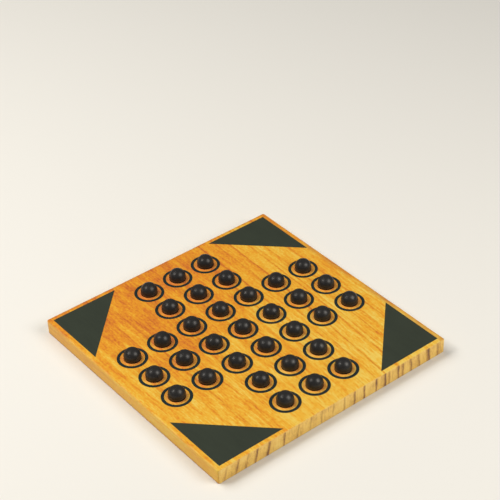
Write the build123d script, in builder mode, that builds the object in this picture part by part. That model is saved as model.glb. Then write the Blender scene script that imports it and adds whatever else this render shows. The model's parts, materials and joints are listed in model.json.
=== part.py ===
from build123d import *
import os

# Marble solitaire board: a square slab of solid wood with 33 round dimples set out as an
# English cross. A ring is printed round every dimple and a triangle in every corner, and a
# loose marble sits in each dimple.
#
# Frame: the origin is at the middle of the underside, +X runs along the grain, +Y across it,
# and +Z is up through the top face. All sizes are in millimetres.

# Board
BOARD_SIDE = 225.0
BOARD_THICKNESS = 13.0
CORNER_RADIUS = 1.5          # the four upright corners, sanded round
TOP_EASE = 0.9               # rounding of the top arris
BOTTOM_EASE = 0.6            # rounding of the bottom arris

# Dimples, cut with a ball-nosed cutter a little larger than a marble
HOLE_PITCH = 29.0
ARM_CELLS = 3                # cells from the middle dimple to the end of an arm
ARM_HALF_WIDTH = 1           # cells from an arm's middle line to its side
DIMPLE_RADIUS = 7.5
DIMPLE_DEPTH = 4.6
LIP_RADIUS = 0.4             # the dimple's rim, eased by sanding

# Marbles, lifted a hair off the bottom of their dimples
MARBLE_DIAMETER = 14.0
SEAT_GAP = 0.1

# Printed marks, as films of ink on the top face
INK_THICKNESS = 0.1
RING_RADIUS = 11.1           # middle of the ring's line
RING_LINE_WIDTH = 2.6
TRIANGLE_INSET = 4.1         # from the board's edges to the triangle's two equal sides
TRIANGLE_LEG = 59.6

# Worked out from the sizes above
HALF_SIDE = BOARD_SIDE / 2
DIMPLE_CENTRE_Z = BOARD_THICKNESS - DIMPLE_DEPTH + DIMPLE_RADIUS
MARBLE_RADIUS = MARBLE_DIAMETER / 2
MARBLE_CENTRE_Z = BOARD_THICKNESS - DIMPLE_DEPTH + SEAT_GAP + MARBLE_RADIUS
TOP_PLANE = Plane.XY.offset(BOARD_THICKNESS)


def cross_cells():
    """Row and column of each dimple: row 1 is at the back, column 1 at the left."""
    cells = range(-ARM_CELLS, ARM_CELLS + 1)
    return [
        (ARM_CELLS + 1 - y, ARM_CELLS + 1 + x, x * HOLE_PITCH, y * HOLE_PITCH)
        for y in reversed(cells)
        for x in cells
        if min(abs(x), abs(y)) <= ARM_HALF_WIDTH
    ]


CELLS = cross_cells()
HOLE_CENTRES = [(x, y) for row, column, x, y in CELLS]

os.makedirs("parts", exist_ok=True)

# Board: the slab, its eased edges, and the dimples with their eased rims
with BuildPart() as board:
    with BuildSketch():
        RectangleRounded(BOARD_SIDE, BOARD_SIDE, CORNER_RADIUS)
    extrude(amount=BOARD_THICKNESS)
    fillet(board.edges().group_by(Axis.Z)[-1], TOP_EASE)
    fillet(board.edges().group_by(Axis.Z)[0], BOTTOM_EASE)
    with Locations(*[(x, y, DIMPLE_CENTRE_Z) for x, y in HOLE_CENTRES]):
        Sphere(DIMPLE_RADIUS, mode=Mode.SUBTRACT)
    top_face = board.faces().filter_by(Plane.XY).sort_by(Axis.Z)[-1]
    fillet([rim.edge() for rim in top_face.inner_wires()], LIP_RADIUS)
board.part.label = "board"
export_step(board.part, "parts/board.step")

# Hole rings: one printed line round each dimple
with BuildPart() as hole_rings:
    with BuildSketch(TOP_PLANE):
        with Locations(*HOLE_CENTRES):
            Circle(RING_RADIUS + RING_LINE_WIDTH / 2)
            Circle(RING_RADIUS - RING_LINE_WIDTH / 2, mode=Mode.SUBTRACT)
    extrude(amount=INK_THICKNESS)
hole_rings.part.label = "hole_rings"
export_step(hole_rings.part, "parts/hole_rings.step")

# Corner triangles: right-angled, with their equal sides parallel to the board's edges
OUTER = HALF_SIDE - TRIANGLE_INSET
INNER = OUTER - TRIANGLE_LEG
CORNERS = {
    "back_right": (1, 1),
    "back_left": (-1, 1),
    "front_left": (-1, -1),
    "front_right": (1, -1),
}
for place, (sx, sy) in CORNERS.items():
    with BuildPart() as corner_triangle:
        with BuildSketch(TOP_PLANE):
            with BuildLine():
                Polyline(
                    (sx * OUTER, sy * OUTER),
                    (sx * INNER, sy * OUTER),
                    (sx * OUTER, sy * INNER),
                    close=True,
                )
            make_face()
        extrude(amount=INK_THICKNESS)
    corner_triangle.part.label = f"corner_triangle_{place}"
    export_step(corner_triangle.part, f"parts/corner_triangle_{place}.step")

# Marbles: one loose ball in every dimple
for row, column, x, y in CELLS:
    with BuildPart() as marble:
        with Locations((x, y, MARBLE_CENTRE_Z)):
            Sphere(MARBLE_RADIUS)
    marble.part.label = f"marble_r{row}_c{column}"
    export_step(marble.part, f"parts/marble_r{row}_c{column}.step")
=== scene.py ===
import json
import math

import bmesh
import bpy
from mathutils import Euler, Matrix, Vector, noise

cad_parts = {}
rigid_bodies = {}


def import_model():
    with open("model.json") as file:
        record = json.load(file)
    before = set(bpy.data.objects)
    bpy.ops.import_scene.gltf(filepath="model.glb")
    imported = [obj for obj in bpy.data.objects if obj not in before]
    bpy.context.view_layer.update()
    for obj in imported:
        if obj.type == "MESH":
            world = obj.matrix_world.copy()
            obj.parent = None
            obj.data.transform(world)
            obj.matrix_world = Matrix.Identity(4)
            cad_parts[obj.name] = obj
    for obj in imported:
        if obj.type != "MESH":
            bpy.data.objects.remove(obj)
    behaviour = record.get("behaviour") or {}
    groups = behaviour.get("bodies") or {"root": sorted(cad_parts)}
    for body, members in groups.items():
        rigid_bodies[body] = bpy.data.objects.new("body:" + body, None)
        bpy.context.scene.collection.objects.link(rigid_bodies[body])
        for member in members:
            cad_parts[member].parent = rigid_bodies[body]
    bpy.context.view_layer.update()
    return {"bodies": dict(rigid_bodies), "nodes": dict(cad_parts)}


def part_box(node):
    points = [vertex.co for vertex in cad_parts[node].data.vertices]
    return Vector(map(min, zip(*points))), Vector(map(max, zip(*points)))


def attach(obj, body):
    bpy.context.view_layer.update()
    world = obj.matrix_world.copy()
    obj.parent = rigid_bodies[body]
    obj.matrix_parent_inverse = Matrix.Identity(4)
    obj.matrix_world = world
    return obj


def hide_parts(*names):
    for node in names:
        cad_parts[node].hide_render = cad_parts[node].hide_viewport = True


# A marble solitaire board: a varnished wooden slab with printed rings and corner triangles,
# and a black marble in each of its dimples. Every length is in metres.

MM = 0.001
TINY = 1e-9

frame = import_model()
_, board_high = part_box("board")
TOP = board_high.z
HALF_SIDE = board_high.x
CENTRE = Vector((0, 0, TOP))

# Slab
CORNER_RADIUS = 1.5 * MM
TOP_EASE = 0.9 * MM
BOTTOM_EASE = 0.6 * MM
SANDING = 0.18               # how much the top easing varies along an edge
SANDING_WAVES = 45           # a metre
CORE = HALF_SIDE - CORNER_RADIUS

# Dimples, in a cross three cells wide and seven cells long each way
PITCH = 29 * MM
ARM_HALF_WIDTH = 1.5 * PITCH
ARM_END = 3.5 * PITCH
CUTTER_RADIUS = 7.5 * MM
DIMPLE_DEPTH = 4.6 * MM
LIP_RADIUS = 0.4 * MM
RIM_FLAT = 0.25 * MM         # level ring of quads round a dimple's eased rim

# Quads in the slab's mesh
SECTORS = 64                 # round a dimple
CELL_STEPS = SECTORS // 4    # along a cell's side
LIP_STEPS = 4
CUP_STEPS = 11
MARGIN_STEPS = 4             # from the outermost cells to the corner rounding
CORNER_STEPS = 3
TOP_EASE_STEPS = 5
WALL_STEPS = 3
BOTTOM_EASE_STEPS = 4

# Printed rings
RING_INNER = 9.8 * MM
RING_OUTER = 12.4 * MM
INK_THICKNESS = 0.1 * MM
INK_SLOPE = 0.05 * MM        # width of the film's sloping edges
INK_SETBACK = 0.03 * MM      # kept clear inside the ring's outer edge
INK_BLEED = 0.05 * MM        # how far the edge wanders
BLEED_WAVES = 2.5            # a radius
RING_SEGMENTS = 96
RING_INK = (0.010, 0.020, 0.022, 1)
TRIANGLE_INK = (0.027, 0.035, 0.024, 1)

# Marbles
GLASS_BLACK = (0.0135, 0.0133, 0.0138, 1)
GLASS_SMUDGED = (0.021, 0.0205, 0.0212, 1)
MARBLE_SHRINK = 0.02 * MM    # keeps the swollen ball inside its true size
MARBLE_SWELL = 0.03 * MM
SWELL_WAVES = 1.7            # a radius
BALL_CUTS = 23               # cuts along each side of the cube that a ball is made from

# Camera: where it stands, seen from the middle of the top face
CAMERA_AZIMUTH = 52.91
CAMERA_ELEVATION = 39.67
CAMERA_DISTANCE = 1.2415
CAMERA_LENS = 112.5
AIM_ABOVE = 2.904            # degrees from the board's middle to the point aimed at
AIM_RIGHT = 0.253
CAMERA_ROLL = -2.361

# Lights: azimuth and elevation as for the camera, distance, width, power. The fill is matt: it
# lights the board and casts the marbles' softest shadows, but isn't mirrored in anything.
LIGHTS = {
    "left_softbox": (-24.0, 48.7, 1.3, 0.37, 4.4),
    "right_softbox": (117.0, 42.6, 1.3, 0.80, 9.3),
    "matt_fill": (-60.0, 55.0, 1.6, 1.15, 18.8),
}
LIGHT_COLOUR = (1.0, 0.95, 0.87)
WORLD_STRENGTH = 0.15
WORLD_COLOUR = (1.0, 0.98, 0.96, 1)
FLOOR_SIZE = 6.0
FLOOR_COLOUR = (0.76, 0.76, 0.74, 1)

marbles = sorted(name for name in frame["bodies"] if name.startswith("marble"))
marble_boxes = {name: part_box(name) for name in marbles}
HOLES = [(low + high) / 2 for low, high in marble_boxes.values()]


def add_object(name, data):
    made = bpy.data.objects.new(name, data)
    bpy.context.scene.collection.objects.link(made)
    return made


# ---------------------------------------------------------------- node trees

class Shader:
    """A new material, with short ways to add and join its nodes."""

    def __init__(self, name):
        self.material = bpy.data.materials.new(name)
        self.material.use_nodes = True
        self.tree = self.material.node_tree
        self.surface = self.tree.nodes["Principled BSDF"]
        self.point = self.add("ShaderNodeTexCoord").outputs["Object"]

    def add(self, kind, inputs=(), **settings):
        node = self.tree.nodes.new(kind)
        for key, value in settings.items():
            setattr(node, key, value)
        for key, value in dict(inputs).items():
            self.put(node.inputs[key], value)
        return node

    def put(self, socket, value):
        if isinstance(value, bpy.types.NodeSocket):
            self.tree.links.new(value, socket)
        else:
            socket.default_value = value

    def math(self, operation, a, b=0.0, clamp=False):
        return self.add("ShaderNodeMath", {0: a, 1: b}, operation=operation, use_clamp=clamp).outputs[0]

    def total(self, *values):
        result = values[0]
        for value in values[1:]:
            result = self.math("ADD", result, value)
        return result

    def times(self, *values):
        result = values[0]
        for value in values[1:]:
            result = self.math("MULTIPLY", result, value)
        return result

    def split(self, vector):
        return self.add("ShaderNodeSeparateXYZ", {0: vector}).outputs

    def join(self, x, y, z):
        return self.add("ShaderNodeCombineXYZ", {0: x, 1: y, 2: z}).outputs[0]

    def noise(self, scale, detail=3.0, roughness=0.5, vector=None):
        """Noise from 0 to 1. scale is in cells a metre along X, Y and Z."""
        at = self.add("ShaderNodeVectorMath", {0: vector or self.point, 1: scale}, operation="MULTIPLY")
        wanted = {"Vector": at.outputs[0], "Scale": 1.0, "Detail": detail, "Roughness": roughness}
        return self.add("ShaderNodeTexNoise", wanted).outputs["Fac"]

    def remap(self, value, low, high, to_low=0.0, to_high=1.0, smooth=False):
        wanted = {"Value": value, "From Min": low, "From Max": high, "To Min": to_low, "To Max": to_high}
        kind = "SMOOTHSTEP" if smooth else "LINEAR"
        return self.add("ShaderNodeMapRange", wanted, interpolation_type=kind).outputs["Result"]

    def swing(self, value, size):
        """A noise value moved to lie evenly about 0."""
        return self.math("MULTIPLY", self.math("SUBTRACT", value, 0.5), size)

    def mix(self, factor, a, b, blend="MIX"):
        node = self.add("ShaderNodeMix", data_type="RGBA", blend_type=blend)
        self.put(node.inputs[0], factor)
        self.put(node.inputs[6], a)
        self.put(node.inputs[7], b)
        return node.outputs[2]

    def ramp(self, value, stops):
        """Colours along value, from 0 to 1. stops is a list of (position, colour)."""
        node = self.add("ShaderNodeValToRGB", {"Fac": value})
        ends = node.color_ramp.elements
        ends[0].position, ends[0].color = stops[0]
        ends[-1].position, ends[-1].color = stops[-1]
        for position, colour in stops[1:-1]:
            ends.new(position).color = colour
        return node.outputs["Color"]

    def bump(self, height, strength, distance):
        wanted = {"Height": height, "Strength": strength, "Distance": distance}
        self.put(self.surface.inputs["Normal"], self.add("ShaderNodeBump", wanted).outputs["Normal"])

    def set(self, **values):
        for key, value in values.items():
            self.put(self.surface.inputs[key.replace("_", " ")], value)


def grey(level):
    return (level, level, level, 1)


# ---------------------------------------------------------------- wood

# Growth lines, as the distance in mm from the board's middle line and how dark they are
GROWTH_LINES = [
    (-104, 0.45), (-93, 0.60), (-84, 0.45), (-75, 0.90), (-64, 1.0), (-49, 0.70), (-36, 0.40),
    (-22, 0.45), (-8, 0.35), (6, 0.45), (19, 0.55), (30, 0.85), (40.5, 0.95), (53.5, 1.0), (62, 0.9),
    (66, 0.5), (74, 0.9), (77.6, 0.7), (84, 0.8), (90, 0.65), (97, 0.8), (105, 0.5),
]
LINES_FROM, LINES_TO = -115.0, 115.0
LINE_RISE, LINE_FALL = 2.8, 0.5      # mm over which a line darkens, and over which it ends
LINES_PER_RAMP = 7

# How the growth rings fan out: all in mm, but for the exponent
FAN_SWEEP = 12.4
FAN_EXPONENT = 1.8
FAN_MIDDLE = 35.0
FAN_REACH = 65.0

# Colours of the varnished face, from the reddest wood to the palest
TONES = [
    (0.00, (0.46, 0.112, 0.018, 1)),
    (0.20, (0.59, 0.180, 0.018, 1)),
    (0.40, (0.68, 0.265, 0.015, 1)),
    (0.55, (0.715, 0.338, 0.022, 1)),
    (0.72, (0.735, 0.418, 0.038, 1)),
    (1.00, (0.75, 0.535, 0.100, 1)),
]

# Colours of the end grain, from its dark bands to the palest wood
END_TONES = [
    (0.00, (0.20, 0.085, 0.024, 1)),
    (0.30, (0.58, 0.30, 0.055, 1)),
    (0.62, (0.90, 0.57, 0.115, 1)),
    (1.00, (0.98, 0.74, 0.22, 1)),
]

LINE_BROWN = (0.27, 0.085, 0.012, 1)
PORE_BROWN = (0.34, 0.10, 0.012, 1)
# Partly varnish stain, partly painted shade: the dimple's cup painted darker to show its hollow.
CUP_STAIN_AND_SHADE = (0.50, 0.145, 0.020, 1)
# Partly varnish stain, partly painted shadow: the pink hue of the marbles' shadows round each rim.
RIM_STAIN_AND_SHADOW_TINT = (0.92, 0.27, 0.095, 1)
CUT_END_STAIN = (0.34, 0.085, 0.020, 1)
# Painted shade: the reddish brown of the far edges' arrises.
FAR_EDGE_SHADE = (0.38, 0.110, 0.035, 1)
SIDE_GOLD = (0.93, 0.54, 0.006, 1)
SIDE_FOOT = (0.50, 0.145, 0.002, 1)
BARE_WOOD = (0.86, 0.58, 0.24, 1)


class Wood(Shader):
    """Varnished wood with its grain along X: face grain on top, side and end grain round the edges."""

    def __init__(self, name):
        super().__init__(name)
        self.x, self.y, self.z = self.split(self.point)
        self.from_middle = [self.math("ABSOLUTE", axis) for axis in (self.x, self.y)]
        normal = self.split(self.add("ShaderNodeNewGeometry").outputs["Normal"])
        self.facing_x, facing_y = (self.math("ABSOLUTE", normal[axis]) for axis in (0, 1))
        self.end_grain = self.remap(self.facing_x, 0.6, 0.9, smooth=True)
        self.side_grain = self.remap(facing_y, 0.6, 0.9, smooth=True)
        self.leftness = self.remap(self.x, 70 * MM, -60 * MM, smooth=True)
        across = self.growth_coordinate()
        self.grain = self.join(self.x, self.times(across, MM), self.z)
        self.lines = self.growth_lines(across)
        self.pores = self.remap(self.noise((170, 2600, 2600), 2.0, 0.5, self.grain), 0.66, 0.76, 0.0, 0.5)

    def growth_coordinate(self):
        """How far across the growth rings a point is, in mm: they fan out towards the +X end."""
        x, y, z = (self.math("DIVIDE", axis, MM) for axis in (self.x, self.y, self.z))
        half_side = HALF_SIDE / MM
        along = self.remap(x, -half_side, half_side)
        sweep = self.math("MULTIPLY", self.math("POWER", along, FAN_EXPONENT), FAN_SWEEP)
        from_fan = self.math("DIVIDE", self.math("SUBTRACT", y, FAN_MIDDLE), FAN_REACH)
        fan = self.math("SUBTRACT", 1.0, self.math("MULTIPLY", from_fan, from_fan), clamp=True)
        lean = self.remap(y, -half_side, 60.0, -0.32, 0.02)
        leaned = self.times(self.math("SUBTRACT", z, TOP / MM), lean)
        slow = self.swing(self.noise((7, 16, 16), 2.0), 5.0)
        quick = self.swing(self.noise((45, 120, 120), 2.0), 1.6)
        return self.total(y, self.times(sweep, fan), leaned, slow, quick)

    def growth_lines(self, across):
        """How dark the growth lines are: each darkens slowly through the summer wood and ends at once."""
        place = self.remap(across, LINES_FROM, LINES_TO)
        shape = ((-LINE_RISE, 0.0), (0.0, 1.0), (LINE_FALL, 0.0))
        darkness = 0.0
        for first in range(0, len(GROWTH_LINES), LINES_PER_RAMP):
            stops = [
                ((middle + offset - LINES_FROM) / (LINES_TO - LINES_FROM), grey(level * dark))
                for middle, dark in GROWTH_LINES[first:first + LINES_PER_RAMP]
                for offset, level in shape
            ]
            ramp = self.ramp(place, [(0, grey(0))] + stops + [(1, grey(0))])
            darkness = self.math("MAXIMUM", darkness, ramp)
        return darkness

    def fine_grain(self):
        """Small changes of tone: streaks along the grain, stronger on the right, and round flecks."""
        streaks = self.swing(self.noise((14, 420, 420), 4.0, 0.65, self.grain), 0.85)
        dashes = self.swing(self.noise((110, 900, 900), 3.0, 0.6, self.grain), 0.95)
        fibres = self.swing(self.noise((45, 2400, 2400), 2.0, 0.6, self.grain), 0.35)
        strength = self.remap(self.leftness, 0, 1, 1.1, 0.68)
        mottle = self.swing(self.noise((30, 120, 120), 3.0, 0.6), 0.95)
        flecks = self.swing(self.noise((400, 680, 680), 2.0, 0.6, self.grain), 0.8)
        return self.total(self.times(self.total(streaks, dashes, fibres), strength), mottle, flecks)

    def face_colour(self):
        """The colour of the uncut face, worked out as a tone from 0, the reddest, to 1, the palest."""
        # Paler towards +X and towards the back: partly the wood's own tone and partly a painted light
        # gradient across the face.
        tone_and_light_drift = self.total(self.remap(self.x, -HALF_SIDE, HALF_SIDE, 0.45, 0.72),
                           self.remap(self.y, -70 * MM, 70 * MM, -0.09, 0.10))
        clouds = self.swing(self.noise((11, 34, 34), 3.0, 0.5), 0.65)
        redder = self.times(self.remap(self.y, -52 * MM, -44 * MM, smooth=True),
                            self.remap(self.y, 40 * MM, 70 * MM, 1, 0), self.leftness, -0.10)
        broken = self.remap(self.noise((16, 60, 60), 3.0), 0.35, 0.62, 0.45, 1.0)
        bolder = self.remap(self.y, 55 * MM, 75 * MM, 1.0, 1.6)
        core = self.math("POWER", self.lines, 3.0)
        summer_wood = self.total(self.times(self.lines, 0.13), self.times(core, 0.42))
        line_dark = self.times(summer_wood, broken, bolder, -1.0)
        side_streaks = self.times(self.swing(self.noise((9, 500, 500), 3.0, 0.6), 1.1), self.side_grain)
        tone = self.total(tone_and_light_drift, clouds, self.fine_grain(), redder, line_dark, side_streaks)
        colour = self.ramp(tone, TONES)
        colour = self.mix(self.times(core, broken, bolder, 0.34), colour, LINE_BROWN)
        return self.mix(self.pores, colour, PORE_BROWN)

    def stain_and_shade_dimples(self, colour):
        """Colour in and round each dimple: partly varnish that the cut wood drinks, most where it cuts
        the grain's ends, and partly painted shade, with the cup darker towards its bottom and a pink tint
        out to the ring in the hue of the marbles' shadows.
        """
        in_cell = []
        for axis in (self.x, self.y):
            wrap = self.add("ShaderNodeMath", {0: axis, 1: PITCH / 2, 2: -PITCH / 2}, operation="WRAP")
            in_cell.append(wrap.outputs[0])
        offset = self.join(*in_cell, 0.0)
        from_hole = self.add("ShaderNodeVectorMath", {0: offset}, operation="LENGTH").outputs["Value"]
        in_cross = self.times(
            self.math("LESS_THAN", self.math("MINIMUM", *self.from_middle), ARM_HALF_WIDTH),
            self.math("LESS_THAN", self.math("MAXIMUM", *self.from_middle), ARM_END),
            self.math("GREATER_THAN", self.z, TOP / 2))
        # Painted shade and stain round each hole: the cup darkens towards its bottom, and a pink tint
        # reaches out to the ring in the hue of the marbles' shadows.
        soaked_and_shaded = self.remap(from_hole, 10.2 * MM, 7.2 * MM, smooth=True)
        rimward = self.remap(from_hole, 5.6 * MM, 7.2 * MM, smooth=True)
        stain_and_shade = self.mix(rimward, CUP_STAIN_AND_SHADE, RIM_STAIN_AND_SHADOW_TINT)
        colour = self.mix(self.times(soaked_and_shaded, in_cross, 0.43), colour, stain_and_shade)
        cut_across = self.remap(self.facing_x, 0.20, 0.65, smooth=True)
        return self.mix(self.times(cut_across, soaked_and_shaded, in_cross, 0.5), colour, CUT_END_STAIN)

    def shade_far_edges(self, colour):
        """Painted shade along the two far edges, whose eased arrises turn away from the camera: a
        reddish-brown band along the back edge, and a narrower darker one on the left.
        """
        back = self.times(self.remap(self.y, HALF_SIDE - 7 * MM, HALF_SIDE - 0.5 * MM, smooth=True),
                          self.remap(self.x, -65 * MM, -45 * MM, 0.4, 1.0))
        left = self.remap(self.x, 3 * MM - HALF_SIDE, 0.5 * MM - HALF_SIDE, smooth=True)
        patches = self.remap(self.noise((35, 90, 90), 3.0, 0.6), 0.35, 0.60, 0.3, 1.0)
        # Painted shade, broken into patches, along the back and left edges.
        far_shade = self.times(self.math("MAXIMUM", back, self.times(left, 0.8)), patches)
        return self.mix(self.times(far_shade, 0.7), colour, FAR_EDGE_SHADE)

    def end_colour(self):
        """End grain: tan, with the growth lines as dark bands."""
        speckle = self.swing(self.noise((900, 900, 900), 3.0), 0.5)
        rays = self.swing(self.noise((300, 700, 60), 3.0), 0.5)
        patches = self.swing(self.noise((30, 110, 110), 3.0), 0.7)
        tone = self.total(0.62, speckle, rays, patches, self.times(self.lines, -0.75))
        return self.ramp(tone, END_TONES)

    def side_colour(self, colour):
        """Side grain: paler than the face, and darker along its foot."""
        foot = self.remap(self.z, 2.2 * MM, 0.9 * MM, smooth=True)
        return self.mix(self.times(foot, 0.65), self.mix(0.46, colour, SIDE_GOLD), SIDE_FOOT)

    def rubbed_arris(self):
        """How bare the top's edges are rubbed, which they are in places."""
        reach = self.math("MAXIMUM", *self.from_middle)
        outward = self.remap(reach, HALF_SIDE - 1.3 * MM, HALF_SIDE - 0.5 * MM)
        upward = self.remap(self.z, TOP - 1.2 * MM, TOP - 0.5 * MM)
        patches = self.remap(self.noise((90, 90, 90), 3.0, 0.6), 0.40, 0.62)
        return self.times(outward, upward, patches)

    def finish_surface(self, rubbed):
        """The satin varnish, thinner on the rubbed edges, over fibres and pores that can be felt."""
        fibre = self.noise((60, 1500, 1500), 3.0, 0.6, self.grain)
        varnish = self.swing(self.noise((55, 55, 55), 3.0), 0.14)
        self.set(IOR=1.48, Coat_Roughness=0.24)
        self.set(Coat_Weight=self.math("SUBTRACT", 0.22, self.times(rubbed, 0.2)))
        rough = self.total(self.remap(fibre, 0.0, 1.0, 0.38, 0.50), varnish, self.times(rubbed, 0.12))
        self.set(Roughness=rough)
        hollows = self.total(self.times(self.lines, -0.5), self.times(self.pores, -1.2))
        self.bump(self.total(self.times(fibre, 0.6), hollows), 0.20, 0.12 * MM)


def make_wood():
    s = Wood("board_wood")
    colour = s.shade_far_edges(s.stain_and_shade_dimples(s.face_colour()))
    colour = s.mix(s.end_grain, colour, s.end_colour())
    colour = s.mix(s.side_grain, colour, s.side_colour(colour))
    rubbed = s.rubbed_arris()
    s.set(Base_Color=s.mix(s.times(rubbed, 0.25), colour, BARE_WOOD))
    s.finish_surface(rubbed)
    return s.material


# ---------------------------------------------------------------- slab

def grid_lines():
    """Where the top's grid lines run. Those in a cell stand at equal angles seen from its middle."""
    steps = [math.tan(math.pi / 4 * (2 * k / CELL_STEPS - 1)) / 2 for k in range(CELL_STEPS)]
    inner = [(cell + step) * PITCH for cell in range(-3, 4) for step in steps] + [ARM_END]
    margin = [ARM_END + (CORE - ARM_END) * k / MARGIN_STEPS for k in range(1, MARGIN_STEPS + 1)]
    arc = [CORE + (CORNER_RADIUS - TOP_EASE) * math.tan(math.pi / 4 * k / CORNER_STEPS)
           for k in range(1, CORNER_STEPS + 1)]
    outer = margin + arc
    return [-at for at in reversed(outer)] + inner + outer, len(outer)


def dimple_profile():
    """Radius and depth from the flat top in to the bottom: an eased rim, then the cutter's ball."""
    above = CUTTER_RADIUS - DIMPLE_DEPTH
    rim = math.sqrt((CUTTER_RADIUS + LIP_RADIUS) ** 2 - (above + LIP_RADIUS) ** 2)
    turn = math.atan2(rim, above + LIP_RADIUS)
    profile = [(rim + RIM_FLAT, 0.0)]
    for k in range(LIP_STEPS + 1):
        angle = turn * k / LIP_STEPS
        profile.append((rim - LIP_RADIUS * math.sin(angle), LIP_RADIUS * (1 - math.cos(angle))))
    for k in range(1, CUP_STEPS - 1):    # the last two steps are the fan at the bottom
        angle = turn * (1 - k / CUP_STEPS)
        profile.append((CUTTER_RADIUS * math.sin(angle), CUTTER_RADIUS * math.cos(angle) - above))
    return profile


def past_core(x, y):
    """How far a point lies past the core that the rounded corners leave square."""
    return Vector((max(abs(x) - CORE, 0.0), max(abs(y) - CORE, 0.0), 0.0))


class SlabShape:
    """The slab in quads: a grid on the top and underside, and loops of quads down each dimple and
    round the edge."""

    def __init__(self):
        self.shape = bmesh.new()
        self.at, self.first_cell = grid_lines()
        self.cells = {(round(hole.x / PITCH), round(hole.y / PITCH)) for hole in HOLES}

    def join(self, outer, inner):
        """Quads between two loops of vertices."""
        for k in range(len(outer)):
            m = (k + 1) % len(outer)
            self.shape.faces.new((outer[k], outer[m], inner[m], inner[k]))

    def add_loop(self, outer, places):
        """A new loop of vertices, joined to the loop outside it."""
        inner = [self.shape.verts.new(place) for place in places]
        self.join(outer, inner)
        return inner

    def add_point(self, i, j, z):
        """A point of the grid, drawn in at a rounded corner."""
        x, y = self.at[i], self.at[j]
        over = past_core(x, y)
        if min(over.x, over.y) > TINY:
            over = over.normalized() * max(over)
            x, y = math.copysign(CORE + over.x, x), math.copysign(CORE + over.y, y)
        return self.shape.verts.new((x, y, z))

    def in_dimpled_cell(self, i, j):
        return tuple((k - self.first_cell) // CELL_STEPS - 3 for k in (i, j)) in self.cells

    def in_hole(self, i, j):
        """Whether a point of the grid is inside a dimpled cell and not on its border."""
        on_border = any((k - self.first_cell) % CELL_STEPS == 0 for k in (i, j))
        return not on_border and self.in_dimpled_cell(i, j)

    def add_grid(self, z, holed):
        """The points of a level grid by their two indices, joined by quads except in its holes."""
        count = len(self.at)
        points = {(i, j): self.add_point(i, j, z) for i in range(count) for j in range(count)
                  if not (holed and self.in_hole(i, j))}
        for i in range(count - 1):
            for j in range(count - 1):
                if not (holed and self.in_dimpled_cell(i, j)):
                    corners = ((i, j), (i + 1, j), (i + 1, j + 1), (i, j + 1))
                    self.shape.faces.new([points[corner] for corner in corners])
        return points

    @staticmethod
    def border(points, i, j, size):
        """The points round a square of the grid, anticlockwise from its low corner."""
        along = range(size)
        keys = [(i + k, j) for k in along] + [(i + size, j + k) for k in along]
        keys += [(i + size - k, j + size) for k in along] + [(i, j + size - k) for k in along]
        return [points[key] for key in keys]

    def add_dimple(self, top, cell):
        """A dimple in a cell of the top's grid, whose square border its first loops make round."""
        middle = Vector((cell[0] * PITCH, cell[1] * PITCH, TOP))
        corner = [self.first_cell + (place + 3) * CELL_STEPS for place in cell]
        loop = self.border(top, *corner, CELL_STEPS)
        spokes = [(vertex.co - middle).normalized() for vertex in loop]
        profile = dimple_profile()
        widest = profile[0][0]
        halfway = [(vertex.co + middle + spoke * widest) / 2 for vertex, spoke in zip(loop, spokes)]
        loop = self.add_loop(loop, halfway)
        for radius, depth in profile:
            level = middle - Vector((0, 0, depth))
            loop = self.add_loop(loop, [level + spoke * radius for spoke in spokes])
        bottom = self.shape.verts.new(middle - Vector((0, 0, DIMPLE_DEPTH)))
        for k in range(SECTORS):
            self.shape.faces.new((loop[k], loop[(k + 1) % SECTORS], bottom))

    def add_edge(self, upper, lower):
        """The slab's edge, from the top's border to the underside's: an easing, a wall, an easing."""
        ways = []
        for vertex in upper:
            over = past_core(*vertex.co.xy)
            ways.append(Vector([math.copysign(o, c) for o, c in zip(over, vertex.co)]).normalized())
        wall = [vertex.co + way * TOP_EASE for vertex, way in zip(upper, ways)]
        eases = [TOP_EASE * (1 + SANDING * noise.noise(place * SANDING_WAVES)) for place in wall]
        for vertex, place, way, ease in zip(upper, wall, ways, eases):
            vertex.co = place - way * ease
        for vertex, place, way in zip(lower, wall, ways):
            vertex.co = Vector((place.x, place.y, 0.0)) - way * BOTTOM_EASE

        loop = upper
        for k in range(1, TOP_EASE_STEPS + 1):
            angle = math.pi / 2 * k / TOP_EASE_STEPS
            back, down = 1 - math.sin(angle), Vector((0, 0, 1 - math.cos(angle)))
            loop = self.add_loop(loop, [place - (way * back + down) * ease
                                        for place, way, ease in zip(wall, ways, eases)])
        for k in range(1, WALL_STEPS):
            share = 1 / (WALL_STEPS + 1 - k)
            loop = self.add_loop(loop, [Vector((x, y, z + (BOTTOM_EASE - z) * share))
                                        for x, y, z in (vertex.co for vertex in loop)])
        for k in range(BOTTOM_EASE_STEPS):
            angle = math.pi / 2 * k / BOTTOM_EASE_STEPS
            back, height = BOTTOM_EASE * (1 - math.cos(angle)), BOTTOM_EASE * (1 - math.sin(angle))
            loop = self.add_loop(loop, [Vector((place.x, place.y, height)) - way * back
                                        for place, way in zip(wall, ways)])
        self.join(loop, lower)


def slab_mesh(material):
    slab = SlabShape()
    top = slab.add_grid(TOP, True)
    for cell in sorted(slab.cells):
        slab.add_dimple(top, cell)
    underside = slab.add_grid(0.0, False)
    size = len(slab.at) - 1
    slab.add_edge(slab.border(top, 0, 0, size), slab.border(underside, 0, 0, size))
    bmesh.ops.recalc_face_normals(slab.shape, faces=slab.shape.faces[:])
    return finished_mesh("slab", slab.shape, material)


def finished_mesh(name, shape, material):
    mesh = bpy.data.meshes.new(name)
    shape.to_mesh(mesh)
    shape.free()
    mesh.shade_smooth()
    mesh.materials.append(material)
    return mesh


def make_slab():
    slab = add_object("slab", slab_mesh(make_wood()))
    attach(slab, "board")
    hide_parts("board")


# ---------------------------------------------------------------- printed ink

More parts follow.
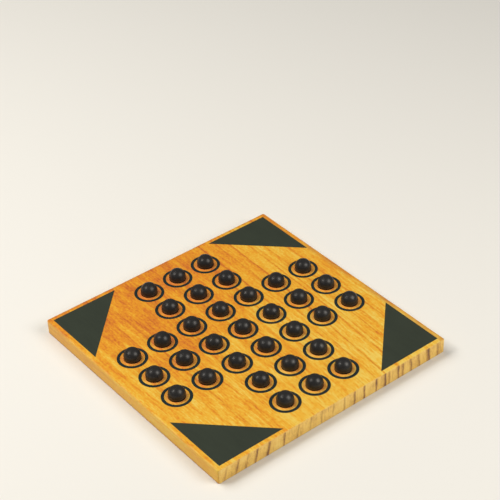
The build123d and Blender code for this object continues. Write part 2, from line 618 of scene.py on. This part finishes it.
def make_ink(name, colour):
    """Ink printed over the grain, which shows through it faintly."""
    s = Shader(name)
    fibre = s.noise((60, 1500, 1500), 3.0, 0.6)
    cloud = s.noise((30, 60, 60), 3.0)
    worn = s.remap(s.noise((220, 900, 900), 3.0, 0.6), 0.66, 0.78)
    shade = s.total(1.0, s.swing(fibre, 0.45), s.swing(cloud, 0.35), s.times(worn, 0.5))
    s.set(Base_Color=s.mix(1.0, colour, s.join(shade, shade, shade), "MULTIPLY"))
    s.set(Roughness=s.remap(fibre, 0, 1, 0.44, 0.58))
    s.bump(fibre, 0.15, 0.1 * MM)
    return s.material


def ring_mesh(material):
    """The printed rings: a closed film round each dimple, with a feathered edge."""
    shape = bmesh.new()
    for turn, hole in enumerate(HOLES):
        hoops = []
        for k in range(RING_SEGMENTS):
            angle = math.tau * k / RING_SEGMENTS
            way = Vector((math.cos(angle), math.sin(angle), 0))
            bleed = INK_BLEED * noise.noise(way * BLEED_WAVES + Vector((0, 0, turn)))
            inner = RING_INNER + bleed
            outer = RING_OUTER - INK_SETBACK - bleed
            section = ((inner, 0), (inner + INK_SLOPE, INK_THICKNESS),
                       (outer - INK_SLOPE, INK_THICKNESS), (outer, 0))
            middle = Vector((hole.x, hole.y, TOP))
            hoops.append([shape.verts.new(middle + way * radius + Vector((0, 0, rise)))
                          for radius, rise in section])
        for k in range(RING_SEGMENTS):
            one, two = hoops[k], hoops[(k + 1) % RING_SEGMENTS]
            for m in range(4):
                n = (m + 1) % 4
                shape.faces.new((one[m], two[m], two[n], one[n]))
    bmesh.ops.recalc_face_normals(shape, faces=shape.faces[:])
    mesh = finished_mesh("rings", shape, material)
    mesh.set_sharp_from_angle(angle=math.radians(40))
    return mesh


def make_prints():
    rings = add_object("ring_prints", ring_mesh(make_ink("ring_ink", RING_INK)))
    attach(rings, "board")
    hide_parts("hole_rings")
    triangle_ink = make_ink("triangle_ink", TRIANGLE_INK)
    for node, part in frame["nodes"].items():
        if node.startswith("corner_triangle"):
            part.data.materials.clear()
            part.data.materials.append(triangle_ink)


# ---------------------------------------------------------------- marbles

def make_marble_glass():
    s = Shader("black_marble")
    smudge = s.noise((160, 160, 160), 3.0)
    speck = s.noise((2200, 2200, 2200), 2.0)
    s.set(Base_Color=s.mix(smudge, GLASS_BLACK, GLASS_SMUDGED), IOR=1.46)
    s.set(Roughness=s.remap(smudge, 0.3, 0.7, 0.32, 0.40))
    s.bump(speck, 0.08, 0.05 * MM)
    return s.material


def ball_mesh(radius, material):
    """A ball as it comes from the mould: a fine quad sphere, a hair out of round."""
    shape = bmesh.new()
    bmesh.ops.create_cube(shape, size=2.0)
    bmesh.ops.subdivide_edges(shape, edges=shape.edges[:], cuts=BALL_CUTS, use_grid_fill=True)
    for vertex in shape.verts:
        way = Vector([math.tan(c * math.pi / 4) for c in vertex.co]).normalized()
        swell = MARBLE_SWELL * noise.noise(way * SWELL_WAVES)
        vertex.co = way * (radius - MARBLE_SHRINK + swell)
    return finished_mesh("ball", shape, material)


def make_marbles():
    low, high = marble_boxes[marbles[0]]
    mesh = ball_mesh((high.z - low.z) / 2, make_marble_glass())
    for turn, (name, hole) in enumerate(zip(marbles, HOLES)):
        ball = add_object(name.replace("marble", "ball"), mesh)
        quarter_turns = Euler([math.pi / 2 * (turn // slower % 4) for slower in (1, 4, 2)])
        ball.matrix_world = Matrix.Translation(hole) @ quarter_turns.to_matrix().to_4x4()
        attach(ball, name)
        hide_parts(name)


# ---------------------------------------------------------------- room

def direction(azimuth, elevation):
    """The unit vector towards a place seen from the board's middle."""
    a, e = math.radians(azimuth), math.radians(elevation)
    return Vector((math.sin(a) * math.cos(e), -math.cos(a) * math.cos(e), math.sin(e)))


def make_camera():
    camera = add_object("camera", bpy.data.cameras.new("camera"))
    camera.data.lens = CAMERA_LENS
    camera.data.clip_end = 50
    away = direction(CAMERA_AZIMUTH, CAMERA_ELEVATION)
    facing = (-away).to_track_quat("-Z", "Y").to_matrix().to_4x4()
    turned = Euler([math.radians(angle) for angle in (AIM_ABOVE, -AIM_RIGHT, CAMERA_ROLL)])
    stand = Matrix.Translation(CENTRE + away * CAMERA_DISTANCE)
    camera.matrix_world = stand @ facing @ turned.to_matrix().to_4x4()
    bpy.context.scene.camera = camera


def make_lights():
    for name, (azimuth, elevation, distance, width, power) in LIGHTS.items():
        lamp = bpy.data.lights.new(name, "AREA")
        lamp.shape = "DISK"
        lamp.size = width
        lamp.energy = power
        lamp.color = LIGHT_COLOUR
        away = direction(azimuth, elevation)
        facing = away.to_track_quat("Z", "Y").to_matrix().to_4x4()
        light = add_object(name, lamp)
        light.matrix_world = Matrix.Translation(CENTRE + away * distance) @ facing
        light.visible_glossy = not name.startswith("matt")
    world = bpy.data.worlds.new("studio")
    world.use_nodes = True
    world.node_tree.nodes["Background"].inputs["Color"].default_value = WORLD_COLOUR
    world.node_tree.nodes["Background"].inputs["Strength"].default_value = WORLD_STRENGTH
    bpy.context.scene.world = world
    bpy.context.scene.view_settings.view_transform = "Standard"


def make_floor():
    mesh = bpy.data.meshes.new("floor")
    half = FLOOR_SIZE / 2
    corners = [(-half, -half, 0), (half, -half, 0), (half, half, 0), (-half, half, 0)]
    mesh.from_pydata(corners, [], [(0, 1, 2, 3)])
    floor = add_object("floor", mesh)
    s = Shader("pale_floor")
    s.set(Base_Color=FLOOR_COLOUR, Roughness=0.7)
    mesh.materials.append(s.material)


make_camera()
make_lights()
make_floor()
make_slab()
make_prints()
make_marbles()
